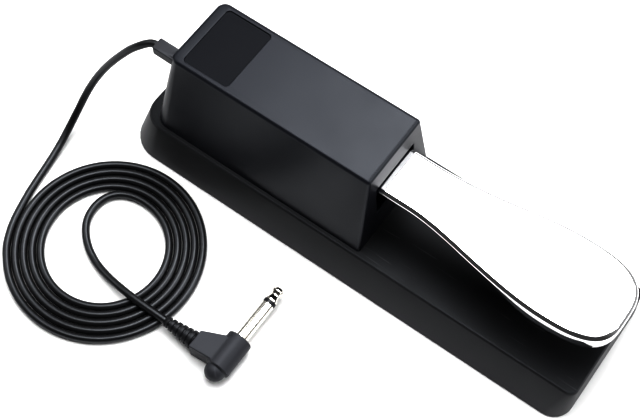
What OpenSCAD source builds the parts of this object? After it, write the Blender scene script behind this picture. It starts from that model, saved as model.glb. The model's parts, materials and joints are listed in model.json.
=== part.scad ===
// Sustain pedal for electronic keyboards: a piano-style foot lever in a moulded housing, with
// its return spring, microswitch, coiled lead and right-angle jack plug.
// Millimetres. +Z up, foot end towards -Y, lead towards +Y. The origin is on the floor, on the
// pedal's centreline, close to the middle of the base.

/* [Base] */
// Length of the base at the floor
base_l = 253.5; // [210:0.5:310]
// Width of the base at the floor
base_w = 77; // [64:0.5:94]
// Height of the deck above the floor
base_h = 20.5; // [17:0.5:26]
// How far each side wall leans in from floor to deck
base_flare_side = 6.75; // [4:0.25:9]
// How far the rear wall leans in
base_flare_rear = 6.5; // [3:0.5:9]
// How far the front wall leans in
base_flare_front = 1; // [0.5:0.5:4]
// Corner radius of the base at the floor, at the rear
base_corner_low = 17; // [12:1:22]
// Corner radius of the base at the floor, at the front
base_corner_toe = 10; // [6:1:17]
// Corner radius of the deck at the rear
base_corner_rear = 12; // [8:1:16]
// Corner radius of the deck at the front
base_corner_front = 4; // [2:0.5:10]
// Wall thickness of the mouldings
wall = 2.5; // [2:0.1:3.5]
// Thickness of the deck
deck_t = 2.5; // [2:0.1:4]

/* [Sole] */
// Thickness of the rubber sole
sole_t = 2; // [1.5:0.1:3]
// Thickness of the steel bottom plate
plate_t = 2; // [1.8:0.1:3.5]
// How far the rubber stands below the moulding
sole_proud = 0.5; // [0.3:0.1:1]

/* [Housing] */
// Length of the housing's flat top
housing_l = 111; // [100:1:135]
// Width of the housing's flat top
housing_w = 40; // [36:0.5:48]
// Height of the housing's top above the floor
housing_top_z = 71; // [68:0.5:86]
// Distance from the housing's top edge to the rear of the base
housing_rear_gap = 22; // [18:1:30]
// How far each side wall of the housing leans out, top to deck
housing_draft_side = 9.3; // [7:0.1:10.5]
// How far the front wall leans out
housing_draft_end = 2.5; // [1:0.5:4]
// How far the rear wall leans out
housing_draft_rear = 9.3; // [3:0.1:10.5]
// Length of the sunk panel in the top
panel_l = 25.5; // [20:0.5:31]
// Width of the sunk panel in the top
panel_w = 34.4; // [28:0.2:34.4]
// Distance from the rear top edge to the sunk panel
panel_rear_gap = 5.5; // [4:0.5:9]
// Depth of the sunk panel
panel_depth = 1; // [0.6:0.1:1.2]
// Thickness of the blank label in the sunk panel
label_t = 0.5; // [0.3:0.1:0.6]

/* [Pedal] */
// Width of the pedal where it leaves the housing
neck_w = 26.8; // [24:0.2:30]
// Width of the pedal at its widest
pad_w = 45; // [36:0.5:52]
// Height of the pedal's top at the housing
neck_top_z = 56.3; // [55.5:0.1:57]
// Height of the pedal's top at the foot end
pad_top_z = 54.4; // [52:0.1:55]
// Thickness of the chromed steel sheet
sheet_t = 1.6; // [1.2:0.1:2]
// Depth of the turned-down edge along the neck
neck_edge = 3; // [2.4:0.1:4]
// Depth of the turned-down edge around the pad
pad_edge = 8.5; // [7:0.5:11]
// How far the pedal's tip reaches past the base
tip_overhang = 0.5; // [0:0.5:6]

/* [Lever and pivot] */
// Outside width of the steel lever arm
arm_w = 20; // [18:0.5:22]
// Thickness of the arm's steel
arm_t = 2; // [1.5:0.1:2.4]
// Depth of the arm along the neck
arm_depth = 7; // [6:0.5:8]
// Distance from the housing's front to the pivot
pivot_back = 85; // [80:0.5:88]
// Height of the pivot above the floor
pivot_z = 46; // [44:0.5:48]
// Diameter of the pivot pin
pin_d = 5; // [4:0.5:6]
// Radial clearance of running fits
run_gap = 0.05; // [0.02:0.01:0.1]
// Thickness of the pivot bracket's steel
bracket_t = 2; // [1.5:0.1:2.2]

/* [Spring] */
// Distance from the pivot forward to the spring
spring_arm = 42; // [40:0.5:44]
// Outside diameter of the spring
spring_d = 11; // [9.5:0.5:12.5]
// Diameter of the spring's wire
spring_wire = 1.3; // [1:0.1:1.6]
// Number of turns in the spring
spring_turns = 8; // [6:1:9]

/* [Microswitch] */
// Length of the switch body
switch_l = 20; // [19:0.5:21]
// Thickness of the switch body
switch_w = 6.4; // [5.8:0.1:7]
// Height of the switch body
switch_h = 10; // [9:0.5:10.5]
// Height of the switch body's top above the floor
switch_top_z = 44; // [43:0.1:44.2]

/* [Lead and plug] */
// Diameter of the lead
cord_d = 3.8; // [3.2:0.1:4]
// Outside radius of the coil of lead
coil_r_out = 50.2; // [50.2:0.1:51]
// Inside radius of the coil of lead
coil_r_in = 27.3; // [26:0.1:27.3]
// Diameter of the plug's shaft
plug_d = 6.35; // [6.3:0.01:6.35]
// Length of the plug's shaft, collar to tip
plug_l = 31; // [30:0.5:32]
// Diameter of the plug's moulded barrel
barrel_d = 12.4; // [11.4:0.2:13]

/* [Fasteners] */
// Diameter of the screws in the mouldings
screw_d = 3; // [2.5:0.1:3.2]
// Diameter of the screws through the switch
switch_screw_d = 2.2; // [2:0.1:2.3]

/* [Hidden] */
$fn = 64;
fit_gap = 0.3;             // clearance between separate mouldings and plates
seat_gap = 0.02;           // a seat that is a push fit
contact_gap = 0.1;         // air between a stop and what it stops
thin = 0.01;
through = 1;               // how far a cutter runs past what it cuts

// places along Y
base_middle_y = 1.25;
base_front_y = base_middle_y - base_l / 2;
base_rear_y = base_front_y + base_l;
tip_y = base_front_y - tip_overhang;
house_rear_y = base_rear_y - housing_rear_gap;
house_front_y = house_rear_y - housing_l;
pivot_y = house_front_y + pivot_back;
spring_y = pivot_y - spring_arm;
pedal_rear_y = spring_y - 9;
stop_y = house_front_y + 13;
stop_l = 8;
deck_w = base_w - 2 * base_flare_side;
deck_z = base_h - deck_t;               // underside of the deck
house_foot_w = housing_w + 2 * housing_draft_side;
house_in_z = housing_top_z - wall;      // underside of the housing's top
house_corner_front = 1.5;
house_corner_rear = [4.5, 8.5];         // at the top edge and at the deck
panel_corner = 2;
plate_z = sole_t + plate_t;             // top of the bottom plate

// fasteners
head_d = screw_d * 1.85;
head_h = screw_d * 0.6;
boss_d = screw_d + 5;
pilot_gap = 0.02;          // a screw in its own thread
pass_gap = 0.2;            // a screw through a clearance hole
house_screw_l = 13;
house_screw_x = house_foot_w / 2 - wall - 4.8;
house_screw_y = [house_front_y + 7, house_rear_y - 6];
plate_screw_l = 9;
plate_screw_x = deck_w / 2 - wall - 4.2;
plate_screw_y = [base_front_y + 21, house_front_y + 55, base_rear_y - 17];
deck_screw_l = 7;
deck_boss_z = deck_z - 8;

// pivot bracket, a steel U screwed to the deck
bracket_in_w = arm_w + 3.2;
bracket_w = bracket_in_w + 2 * bracket_t;
bracket_y = [pivot_y - 18, pivot_y + 18];
bracket_screw_x = bracket_in_w / 2 - 4.2;
bracket_screw_y = [bracket_y[0] + 5, bracket_y[1] - 5];
bush_flange = 1;
bush_d = pin_d + 2;
bush_flange_d = bush_d + 2.5;
pin_head_h = 1.6;
pin_head_d = pin_d + 3;
clip_t = 0.8;
clip_d = pin_d + 4;
groove_d = pin_d - 1;

// pedal outline and its side profile
neck_end_y = house_front_y - 15;        // the neck starts to widen here
flare_l = 75;                           // length over which it widens
tip_l = 34;                             // length of the rounded tip
tip_power = 3.1;                        // squareness of the rounded tip
bend_start_y = house_front_y - 17;      // the neck starts to dip here
bend_l = 40;
edge_start_y = house_front_y - 59;      // the turned-down edge starts to deepen here
edge_l = 28;
droop = 1.5;                            // how far the tip bends down
droop_l = 16;
arm_front_y = tip_y + 44;
arm_rear_y = pivot_y + 9;
arm_heel = pivot_z - 6;                 // underside of the arm at the pivot
slot_gap = 1.1;
slot_z = [pivot_z - 9, neck_top_z + 1.5];

// spring, its seat and its button
seat_flange_t = 2.5;
seat_z = base_h + seat_flange_t;
button_flange_t = 1.5;
arm_web_z = neck_top_z - sheet_t - arm_t;   // underside of the arm's web inside the housing
button_z = arm_web_z - button_flange_t;
spring_in_d = spring_d - 2 * spring_wire;
post_d = spring_in_d - 1;
post_h = 5;
spigot_d = 5;
button_stud_d = 4;
rivet_h = 1;

// stops
stop_pad_t = 3;
lower_stop_z = pivot_z - 5.8;           // top of the rubber buffer, met at full travel
buffer_foot = 1.5;
stop_w = arm_w + 4;

// microswitch
switch_y = [pivot_y - 32, pivot_y - 32 + switch_l];
switch_z = switch_top_z - switch_h;
lever_hinge_y = switch_y[1] - 2;
lever_hinge_z = switch_top_z + 0.8;
lever_tip_y = pivot_y - 32.5;
lever_tip_z = arm_web_z - 0.3 - 0.25;
lever_t = 0.5;
lever_w = 4;
plunger_y = lever_hinge_y - 4;
plunger_d = 1.6;
plunger_top_z = switch_top_z + 1.9;
switch_hole_y = [switch_y[0] + 5.25, switch_y[1] - 5.25];
switch_hole_z = switch_z + 3;
switch_plate_t = 1.5;
foot_x = switch_w / 2 + 14;
foot_y = [switch_y[0], switch_y[0] + 12];
foot_screw_x = [switch_w / 2 + 5, switch_w / 2 + 11];
terminal_y = [switch_y[0] + 3, switch_y[0] + 11, switch_y[1] - 2.5];
terminal_l = 4;
nut_h = 1.6;

// gland and clamp
gland_x = -15.9;
gland_z = housing_top_z - 4.3;
gland_w = 6.6;
gland_h = 5.4;
gland_end_y = house_rear_y + 11;
spigot_gland_d = 4.5;
channel_l = 9;                          // groove in the housing's ceiling, over the lead
clamp_x = -17.2;
clamp_y = [pivot_y + 2, pivot_y + 10];
clamp_w = 11;
clamp_h = 5;
clamp_cord_z = base_h + 2.1;
clamp_screw_x = clamp_x - 4.9;

// plug, lying on the floor with its shaft along +X
plug_z = barrel_d / 2;
plug_y = 15;
collar_x = -91.5;
barrel_l = 18;
dome_d = 10;
relief_x = -104.5;
relief_y = [31, 48];
relief_d = [5.4, 9];
relief_ribs = 6;
plug_ring_l = 2;
plug_tip_l = 8;
plug_core_x = collar_x + plug_l / 2;    // the insulated core starts here
coil_x = -90.4;
coil_y = 96.8;

// Routes, in round numbers. The lead comes straight out of the gland, droops to the floor and
// runs on to the outside of the coil.
lead_run = [
    [-15.9, 117, 66.7], [-15.9, 118.8, 66.7], [-16.8, 121.2, 66], [-18.8, 125.2, 63.2],
    [-21, 130.2, 58.2], [-23.6, 135.4, 51.4], [-26.2, 140.4, 44], [-29.2, 145, 36],
    [-33, 148.6, 28.2], [-38, 151, 20.6], [-44.4, 152.2, 13.2], [-52, 152.4, 7.4],
    [-60.2, 151.6, 4], [-68.2, 150.5, 2.5], [-75.8, 149.4, 1.9], [-83, 148.2, 1.9],
    [-90.4, 146.8, 1.9], [-98, 144.9, 1.9], [-106.1, 142.5, 1.9], [-113.8, 139, 1.9],
    [-120.5, 134.4, 1.9]];
// From the inside of the coil the lead loops back and climbs over the turns to the plug.
lead_tail = [
    [-61.1, 96, 1.9], [-61.8, 103.4, 1.9], [-64.7, 110, 1.9], [-70, 114.4, 1.9],
    [-77.4, 115.8, 1.9], [-85, 114, 1.9], [-91.2, 109.4, 1.9], [-96.2, 103, 1.9],
    [-99.8, 95.2, 2], [-102, 87, 3], [-103.4, 79, 4.8], [-104.2, 71.6, 5.8],
    [-104.5, 64, 6.1], [-104.5, 56, 6.2], [-104.5, 48, 6.2]];
// Inside the housing the lead drops from the gland to its clamp. The routes inside are drawn for
// a pivot at this y, and follow the pivot.
route_pivot_y = 80;
inner_run = [
    [-15.9, 102, 66.7], [-15.9, 101, 66.7], [-15.9, 98.7, 66.2], [-15.9, 96.8, 64.9],
    [-15.9, 95.5, 63], [-15.9, 95, 60.6], [-15.9, 95.4, 52], [-15.9, 96.6, 43],
    [-15.9, 97.6, 35], [-15.9, 97.8, 30.2], [-16, 97.1, 27.2], [-16.4, 95.5, 24.7],
    [-16.9, 93.1, 23.1], [-17.2, 90.4, 22.6], [-17.2, 85, 22.6], [-17.2, 79, 22.6]];
// Two wires go from the end of the lead to the switch.
wire_d = 1.2;
wire_a = [
    [-16.5, 78.9, 22.6], [-16.5, 73, 22.6], [-15.8, 66, 22.2], [-13.6, 60, 22.6],
    [-9.4, 54.6, 24], [-4.6, 51.6, 26.4], [-1.6, 51, 28.6], [-0.9, 51, 31]];
wire_b = [
    [-17.9, 78.9, 22.6], [-17.9, 72, 22.6], [-17, 67, 22.4], [-14.4, 64, 24],
    [-9.6, 62, 26.6], [-4.4, 60, 28.4], [-1.6, 59, 29.4], [-0.9, 59, 31]];

// ---- shared shapes ----

// One rounded corner of a plan outline.
function arc(cx, cy, r, a0, steps = 8) =
    [for (i = [0:steps]) [cx + r * cos(a0 + 90 * i / steps), cy + r * sin(a0 + 90 * i / steps)]];

// A rectangle centred on X, with its own corner radius at the front and at the rear.
function plan(w, y0, y1, r_front, r_rear) = concat(
    arc(w / 2 - r_rear, y1 - r_rear, r_rear, 0),
    arc(-w / 2 + r_rear, y1 - r_rear, r_rear, 90),
    arc(-w / 2 + r_front, y0 + r_front, r_front, 180),
    arc(w / 2 - r_front, y0 + r_front, r_front, 270));

// A solid that runs from one plan outline to another.
module drafted(low, high, z0, z1) {
    hull() {
        translate([0, 0, z0]) linear_extrude(thin) polygon(low);
        translate([0, 0, z1 - thin]) linear_extrude(thin) polygon(high);
    }
}

// A profile drawn in Y and Z, w wide along X.
module side_profile(points, w) {
    rotate([90, 0, 90]) translate([0, 0, -w / 2]) linear_extrude(w) polygon(points);
}

module rod_x(d, x0, x1, y, z) {
    translate([x0, y, z]) rotate([0, 90, 0]) cylinder(d = d, h = x1 - x0);
}

module rod_z(d, x, y, z0, z1) {
    translate([x, y, z0]) cylinder(d = d, h = z1 - z0);
}

module box(low, high) {
    translate(low) cube(high - low);
}

// A pan-head screw, its head above z and its shank l long below.
module screw_down(x, y, z, l, d = screw_d) {
    rod_z(d, x, y, z - l, z);
    rod_z(d * 1.85, x, y, z, z + d * 0.6);
}

// The same screw driven upwards, its head below z.
module screw_up(x, y, z, l) {
    rod_z(screw_d, x, y, z, z + l);
    rod_z(head_d, x, y, z - head_h, z);
}

// A flat-head screw driven upwards, flush with a face at z.
module screw_flush(x, y, z, l, grow = 0) {
    rod_z(screw_d + grow, x, y, z, z + l);
    translate([x, y, z]) cylinder(d1 = head_d + 0.6 + grow, d2 = screw_d + grow, h = head_h);
}

// ---- swept round sections ----

function unit(v) = v / norm(v);
function heading(path, i) = unit(path[min(i + 1, len(path) - 1)] - path[max(i - 1, 0)]);
function ring_at(path, i, r, sides, side_on) =
    let (t = heading(path, i), s = unit(cross(t, side_on)), u = cross(s, t))
    [for (k = [0:sides - 1]) path[i] + r * (cos(360 * k / sides) * s + sin(360 * k / sides) * u)];

// A round section swept along a path that never runs parallel to side_on.
module sweep(path, d, side_on = [0, 0, 1], sides = 8) {
    n = len(path);
    points = [for (i = [0:n - 1]) each ring_at(path, i, d / 2, sides, side_on)];
    walls = [for (i = [0:n - 2]) for (k = [0:sides - 1])
        let (a = i * sides + k, b = i * sides + (k + 1) % sides)
        each [[a, b, a + sides], [b, b + sides, a + sides]]];
    first_end = [for (k = [sides - 1:-1:0]) k];
    last_end = [for (k = [0:sides - 1]) (n - 1) * sides + k];
    polyhedron(points, concat([first_end], walls, [last_end]));
}

// ---- base ----

// Outline of the base moulding at height z, moved inwards by an inset.
function base_lean(z) = (z - sole_proud) / (base_h - sole_proud);
function base_plan(z, inset) =
    let (k = base_lean(z))
    plan(base_w - 2 * k * base_flare_side - 2 * inset,
        base_front_y + k * base_flare_front + inset,
        base_rear_y - k * base_flare_rear - inset,
        base_corner_toe + k * (base_corner_front - base_corner_toe) - min(inset, 2),
        base_corner_low + k * (base_corner_rear - base_corner_low) - min(inset, 2));

module at_plate_screws() {
    for (x = [-1, 1], y = plate_screw_y) translate([x * plate_screw_x, y, 0]) children();
}

module at_housing_screws() {
    for (x = [-1, 1], y = house_screw_y) translate([x * house_screw_x, y, 0]) children();
}

module at_bracket_screws() {
    for (x = [-1, 1], y = bracket_screw_y) translate([x * bracket_screw_x, y, 0]) children();
}

module at_foot_screws() {
    for (x = foot_screw_x) translate([x, (foot_y[0] + foot_y[1]) / 2, 0]) children();
}

module at_clamp_screw() {
    translate([clamp_screw_x, (clamp_y[0] + clamp_y[1]) / 2, 0]) children();
}

module at_deck_screws() {
    at_bracket_screws() children();
    at_foot_screws() children();
    at_clamp_screw() children();
}

module base_shell() {
    color("#1c1c1f") difference() {
        union() {
            difference() {
                drafted(base_plan(sole_proud, 0), base_plan(base_h, 0), sole_proud, base_h);
                drafted(base_plan(0, wall), base_plan(deck_z, wall), 0, deck_z);
            }
            at_plate_screws() rod_z(boss_d, 0, 0, plate_z, deck_z + thin);
            at_deck_screws() rod_z(boss_d - 1, 0, 0, deck_boss_z, deck_z + thin);
        }
        at_plate_screws()
            rod_z(screw_d + 2 * pilot_gap, 0, 0, plate_z - through, plate_z + plate_screw_l);
        at_deck_screws()
            rod_z(screw_d + 2 * pilot_gap, 0, 0, deck_boss_z - through, base_h + through);
        at_housing_screws()
            rod_z(screw_d + 2 * pass_gap, 0, 0, deck_z - through, base_h + through);
        rod_z(spigot_d + 2 * seat_gap, 0, spring_y, deck_z - through, base_h + through);
    }
}

module bottom_plate() {
    color("#8a8d91") difference() {
        translate([0, 0, sole_t]) linear_extrude(plate_t)
            polygon(base_plan(plate_z, wall + fit_gap));
        at_plate_screws() screw_flush(0, 0, sole_t, plate_t + through, 2 * pass_gap);
    }
}

module sole_pad() {
    color("#26262a") linear_extrude(sole_t) polygon(base_plan(plate_z, wall + fit_gap));
}

module plate_screws() {
    color("silver") at_plate_screws() screw_flush(0, 0, sole_t, plate_t + plate_screw_l - 1);
}

// ---- housing ----

// Outline of the housing at height z, moved inwards by an inset.
function house_lean(z) = (housing_top_z - z) / (housing_top_z - base_h);
function house_plan(z, inset) =
    let (k = house_lean(z))
    plan(housing_w + 2 * k * housing_draft_side - 2 * inset,
        house_front_y - k * housing_draft_end + inset,
        house_rear_y + k * housing_draft_rear - inset,
        house_corner_front, house_corner_rear[0] + k * (house_corner_rear[1] - house_corner_rear[0]));

module panel_outline(grow) {
    y1 = house_rear_y - panel_rear_gap;
    polygon(plan(panel_w - 2 * grow, y1 - panel_l + grow, y1 - grow,
        panel_corner, panel_corner));
}

module housing_outside() {
    drafted(house_plan(base_h, 0), house_plan(housing_top_z, 0), base_h, housing_top_z);
}

module housing_shell() {
    color("#2a2b31") difference() {
        union() {
            difference() {
                housing_outside();
                drafted(house_plan(base_h - through, wall), house_plan(house_in_z, wall),
                    base_h - through, house_in_z);
            }
            intersection() {
                union() {
                    at_housing_screws() rod_z(boss_d, 0, 0, base_h, house_in_z);
                    box([-housing_w / 2, stop_y - 2, neck_top_z + stop_pad_t + contact_gap],
                        [housing_w / 2, stop_y + 2, house_in_z + thin]);
                }
                drafted(house_plan(base_h, wall / 2), house_plan(housing_top_z - 1, wall / 2),
                    base_h, housing_top_z - 1);
            }
        }
        box([-neck_w / 2 - slot_gap, house_front_y - 2 * housing_draft_end, slot_z[0]],
            [neck_w / 2 + slot_gap, house_front_y + wall + 1.5, slot_z[1]]);
        translate([0, 0, housing_top_z - panel_depth]) linear_extrude(panel_depth + through)
            panel_outline(0);
        at_housing_screws()
            rod_z(screw_d + 2 * pilot_gap, 0, 0, base_h - through, base_h + house_screw_l);
        translate([gland_x, house_rear_y - 2 * wall, gland_z]) rotate([-90, 0, 0])
            cylinder(d = spigot_gland_d + 2 * seat_gap, h = 4 * wall);
        translate([gland_x, house_rear_y - channel_l, gland_z]) rotate([-90, 0, 0])
            cylinder(d = cord_d + 2 * fit_gap, h = channel_l);
    }
}

module label_plate() {
    color("#17181c") translate([0, 0, housing_top_z - panel_depth]) linear_extrude(label_t)
        panel_outline(fit_gap / 2);
}

module housing_screws() {
    color("silver") at_housing_screws() screw_up(0, 0, deck_z, deck_t + house_screw_l - 1);
}

// ---- pivot ----

module pivot_bracket() {
    color("#9a9da1") difference() {
        union() {
            box([-bracket_w / 2, bracket_y[0], base_h],
                [bracket_w / 2, bracket_y[1], base_h + bracket_t]);
            for (x = [-bracket_w / 2, bracket_in_w / 2]) {
                box([x, bracket_y[0] + 8, base_h], [x + bracket_t, bracket_y[1] - 8, pivot_z]);
                rod_x(20, x, x + bracket_t, pivot_y, pivot_z);
            }
        }
        rod_x(pin_d + 2 * run_gap, -bracket_w, bracket_w, pivot_y, pivot_z);
        at_bracket_screws() rod_z(screw_d + 2 * pass_gap, 0, 0, base_h - through,
            base_h + bracket_t + through);
    }
}

module bracket_screws() {
    color("silver") at_bracket_screws() screw_down(0, 0, base_h + bracket_t,
        bracket_t + deck_screw_l);
}

module pivot_pin() {
    end_x = bracket_w / 2 + 2.4;
    head_x = -bracket_w / 2 - contact_gap;
    groove_x = bracket_w / 2 + contact_gap;
    color("silver") difference() {
        union() {
            rod_x(pin_d, head_x - thin, end_x, pivot_y, pivot_z);
            rod_x(pin_head_d, head_x - pin_head_h, head_x, pivot_y, pivot_z);
        }
        difference() {
            rod_x(pin_d + 2, groove_x, groove_x + clip_t + contact_gap, pivot_y, pivot_z);
            rod_x(groove_d, groove_x - through, groove_x + 2, pivot_y, pivot_z);
        }
    }
}

module pin_clip() {
    clip_x = bracket_w / 2 + 1.5 * contact_gap;
    color("#6f7276") difference() {
        rod_x(clip_d, clip_x, clip_x + clip_t, pivot_y, pivot_z);
        rod_x(groove_d + 2 * seat_gap, clip_x - through, clip_x + clip_t + through,
            pivot_y, pivot_z);
        box([clip_x - through, pivot_y - groove_d * 0.4, pivot_z - clip_d],
            [clip_x + clip_t + through, pivot_y + groove_d * 0.4, pivot_z]);
    }
}

module pivot_bushes() {
    color("ivory") for (side = [-1, 1]) {
        inner = side < 0 ? -arm_w / 2 - bush_flange : arm_w / 2 - arm_t;
        difference() {
            union() {
                rod_x(bush_d, inner, inner + arm_t + bush_flange, pivot_y, pivot_z);
                rod_x(bush_flange_d, side < 0 ? inner : arm_w / 2,
                    side < 0 ? inner + bush_flange : arm_w / 2 + bush_flange, pivot_y, pivot_z);
            }
            rod_x(pin_d + 2 * run_gap, inner - through, inner + arm_t + bush_flange + through,
                pivot_y, pivot_z);
        }
    }
}

// ---- pedal ----

function ease(t) = let (c = min(1, max(0, t))) c * c * (3 - 2 * c);
function pedal_top(y) = neck_top_z
    - (neck_top_z - pad_top_z) * ease((bend_start_y - y) / bend_l)
    - droop * pow(max(0, tip_y + droop_l - y) / droop_l, 2);
function edge_depth(y) = neck_edge + (pad_edge - neck_edge) * ease((edge_start_y - y) / edge_l);
function half_width(y, inset) =
    let (flare = neck_w / 2 + (pad_w - neck_w) / 2 * ease((neck_end_y - y) / flare_l),
        round_t = max(0, tip_y + tip_l - y) / (tip_l - inset))
    (flare - inset) * pow(max(0, 1 - pow(round_t, tip_power)), 1 / tip_power);

// Stations along the pedal, closer together where it curves.
straight_y = [pedal_rear_y, house_front_y, bend_start_y];
curve_steps = 22;
curve_y = [for (i = [1:curve_steps])
    bend_start_y + (tip_y + tip_l - bend_start_y) * i / curve_steps];
function tip_stations(inset) = [for (i = [1:12])
    tip_y + tip_l - (tip_l - inset) * sin(90 * i / 12)];
shared_y = concat(straight_y, curve_y);

module pedal_outline(inset) {
    stations = concat(shared_y, tip_stations(inset));
    right = [for (y = stations) [half_width(y, inset), y]];
    left = [for (i = [len(stations) - 2:-1:0]) [-half_width(stations[i], inset), stations[i]]];
    polygon(concat(right, left));
}

// Side view of the pedal's sheet: from its top face down to the turned-down edge.
module pedal_side(drop, extra, w) {
    stations = concat([pedal_rear_y + (drop > 0 ? through : 0)], shared_y,
        tip_stations(0), [tip_y - through]);
    top = [for (y = stations) [y, pedal_top(max(y, tip_y)) - drop]];
    low = [for (i = [len(stations) - 1:-1:0])
        [stations[i], pedal_top(max(stations[i], tip_y)) - edge_depth(stations[i]) - extra]];
    side_profile(concat(top, low), w);
}

module pedal_shell() {
    color("#e6e8ea") difference() {
        intersection() {
            linear_extrude(housing_top_z) pedal_outline(0);
            pedal_side(0, 0, pad_w + 2);
        }
        intersection() {
            linear_extrude(housing_top_z) union() {
                pedal_outline(sheet_t);
                translate([sheet_t - neck_w / 2, pedal_rear_y - through])
                    square([neck_w - 2 * sheet_t, 2 * through]);
            }
            pedal_side(sheet_t, through, pad_w + 2);
        }
    }
}

module pedal_arm() {
    front = [for (y = shared_y) if (y > arm_front_y) y];
    top_y = concat([arm_rear_y], front, [arm_front_y]);
    top = [for (y = top_y) [y, pedal_top(min(y, pedal_rear_y)) - sheet_t]];
    heel_y = pivot_y - 20;
    low_y = [for (i = [len(front) - 1:-1:0]) front[i]];
    low = concat([[arm_front_y, pedal_top(arm_front_y) - sheet_t - arm_depth]],
        [for (y = low_y) if (y < house_front_y + 14) [y, pedal_top(y) - sheet_t - arm_depth]],
        [[house_front_y + 15, neck_top_z - sheet_t - arm_depth], [heel_y, arm_heel],
        [arm_rear_y, arm_heel]]);
    hollow = [for (y = top_y)
        [y + (y == arm_rear_y ? through : 0) - (y == arm_front_y ? through : 0),
        pedal_top(min(y, pedal_rear_y)) - sheet_t - arm_t]];
    color("#4a4c50") difference() {
        side_profile(concat(top, low), arm_w);
        side_profile(concat(hollow, [[arm_front_y - through, 0], [arm_rear_y + through, 0]]),
            arm_w - 2 * arm_t);
        rod_x(bush_d + 2 * seat_gap, -arm_w, arm_w, pivot_y, pivot_z);
        rod_z(button_stud_d + 2 * seat_gap, 0, spring_y, arm_web_z - through, housing_top_z);
    }
}

// ---- spring ----

module spring_seat() {
    color("ivory") {
        rod_z(spigot_d, 0, spring_y, deck_z, base_h + thin);
        rod_z(spring_d + 4, 0, spring_y, base_h, seat_z);
        rod_z(post_d, 0, spring_y, base_h, seat_z + post_h);
    }
}

module spring_button() {
    rivet_z = arm_web_z + arm_t;
    color("ivory") {
        rod_z(spring_d + 1, 0, spring_y, button_z, arm_web_z);
        rod_z(post_d, 0, spring_y, button_z - post_h, arm_web_z);
        rod_z(button_stud_d, 0, spring_y, arm_web_z - thin, rivet_z + rivet_h);
        rod_z(button_stud_d + 2.5, 0, spring_y, rivet_z, rivet_z + rivet_h);
    }
}

module return_spring() {
    rings_per_turn = 14;
    count = spring_turns * rings_per_turn;
    low_z = seat_z + spring_wire / 2;
    high_z = button_z - spring_wire / 2;
    radius = (spring_d - spring_wire) / 2;
    path = [for (i = [0:count]) let (a = 360 * i / rings_per_turn)
        [radius * cos(a), spring_y + radius * sin(a), low_z + (high_z - low_z) * i / count]];
    color("#b9bcc0") sweep(path, spring_wire);
}

// ---- stops ----

module upper_stop_pad() {
    low_z = neck_top_z + contact_gap;
    color("#3f5f45") box([-stop_w / 2, stop_y - stop_l / 2, low_z],
        [stop_w / 2, stop_y + stop_l / 2, low_z + stop_pad_t]);
}

// A block of rubber, wider at its foot, that stands on the deck.
module lower_buffer() {
    color("#2b2b2b") side_profile([[stop_y - stop_l / 2 - buffer_foot, base_h],
        [stop_y + stop_l / 2 + buffer_foot, base_h],
        [stop_y + stop_l / 2, lower_stop_z], [stop_y - stop_l / 2, lower_stop_z]], stop_w);
}

// ---- microswitch ----

module switch_bracket() {
    x0 = switch_w / 2;
    wall_yz = [[foot_y[0], base_h], [foot_y[1], base_h], [foot_y[1], switch_z - 4],
        [switch_y[1], switch_z], [switch_y[1], switch_top_z - 2], [foot_y[0], switch_top_z - 2]];
    color("#a9acb0") difference() {
        union() {
            translate([x0 + switch_plate_t / 2, 0, 0]) side_profile(wall_yz, switch_plate_t);
            box([x0, foot_y[0], base_h], [foot_x, foot_y[1], base_h + switch_plate_t]);
        }
        for (y = switch_hole_y)
            rod_x(switch_screw_d + 2 * run_gap, x0 - through, x0 + 2 * switch_plate_t,
                y, switch_hole_z);
        at_foot_screws() rod_z(screw_d + 2 * pass_gap, 0, 0, base_h - through,
            base_h + switch_plate_t + through);
    }
}

module switch_bracket_screws() {
    color("silver") at_foot_screws() screw_down(0, 0, base_h + switch_plate_t,
        switch_plate_t + deck_screw_l);
}

module switch_body() {
    color("#232429") difference() {
        union() {
            box([-switch_w / 2, switch_y[0], switch_z], [switch_w / 2, switch_y[1], switch_top_z]);
            for (x = [-switch_w / 2, lever_w / 2 + 0.2])
                box([x, lever_hinge_y - 1, switch_top_z - thin],
                    [x + switch_w / 2 - lever_w / 2 - 0.2, lever_hinge_y + 1.4,
                    lever_hinge_z + 1]);
        }
        for (y = switch_hole_y)
            rod_x(switch_screw_d + 2 * run_gap, -switch_w, switch_w, y, switch_hole_z);
        rod_z(plunger_d + 2 * run_gap, 0, plunger_y, switch_top_z - 3, switch_top_z + through);
    }
}

module switch_plunger() {
    color("crimson") {
        rod_z(plunger_d, 0, plunger_y, switch_top_z - 2, plunger_top_z - plunger_d / 2);
        translate([0, plunger_y, plunger_top_z - plunger_d / 2]) sphere(d = plunger_d);
    }
}

module switch_lever() {
    reach = [lever_tip_y - lever_hinge_y, lever_tip_z - lever_hinge_z];
    normal = [-reach[1], reach[0]] / norm(reach) * lever_t / 2;
    hinge = [lever_hinge_y, lever_hinge_z];
    tip = [lever_tip_y, lever_tip_z - lever_t / 2];
    color("silver") {
        side_profile([hinge + normal, hinge - normal, tip - normal, tip + normal], lever_w);
        rod_x(lever_t + 0.4, -lever_w / 2, lever_w / 2, lever_hinge_y, lever_hinge_z);
        rod_x(lever_t, -lever_w / 2, lever_w / 2, lever_tip_y, tip[1]);
    }
}

module switch_terminals() {
    color("gold") for (y = terminal_y)
        box([-0.25, y - 1.5, switch_z - terminal_l], [0.25, y + 1.5, switch_z]);
}

module switch_screws() {
    head_x = -switch_w / 2;
    end_x = switch_w / 2 + switch_plate_t + nut_h + 0.4;
    color("silver") for (y = switch_hole_y) {
        rod_x(switch_screw_d, head_x - thin, end_x, y, switch_hole_z);
        rod_x(switch_screw_d * 1.8, head_x - 1.3, head_x, y, switch_hole_z);
    }
}

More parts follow.
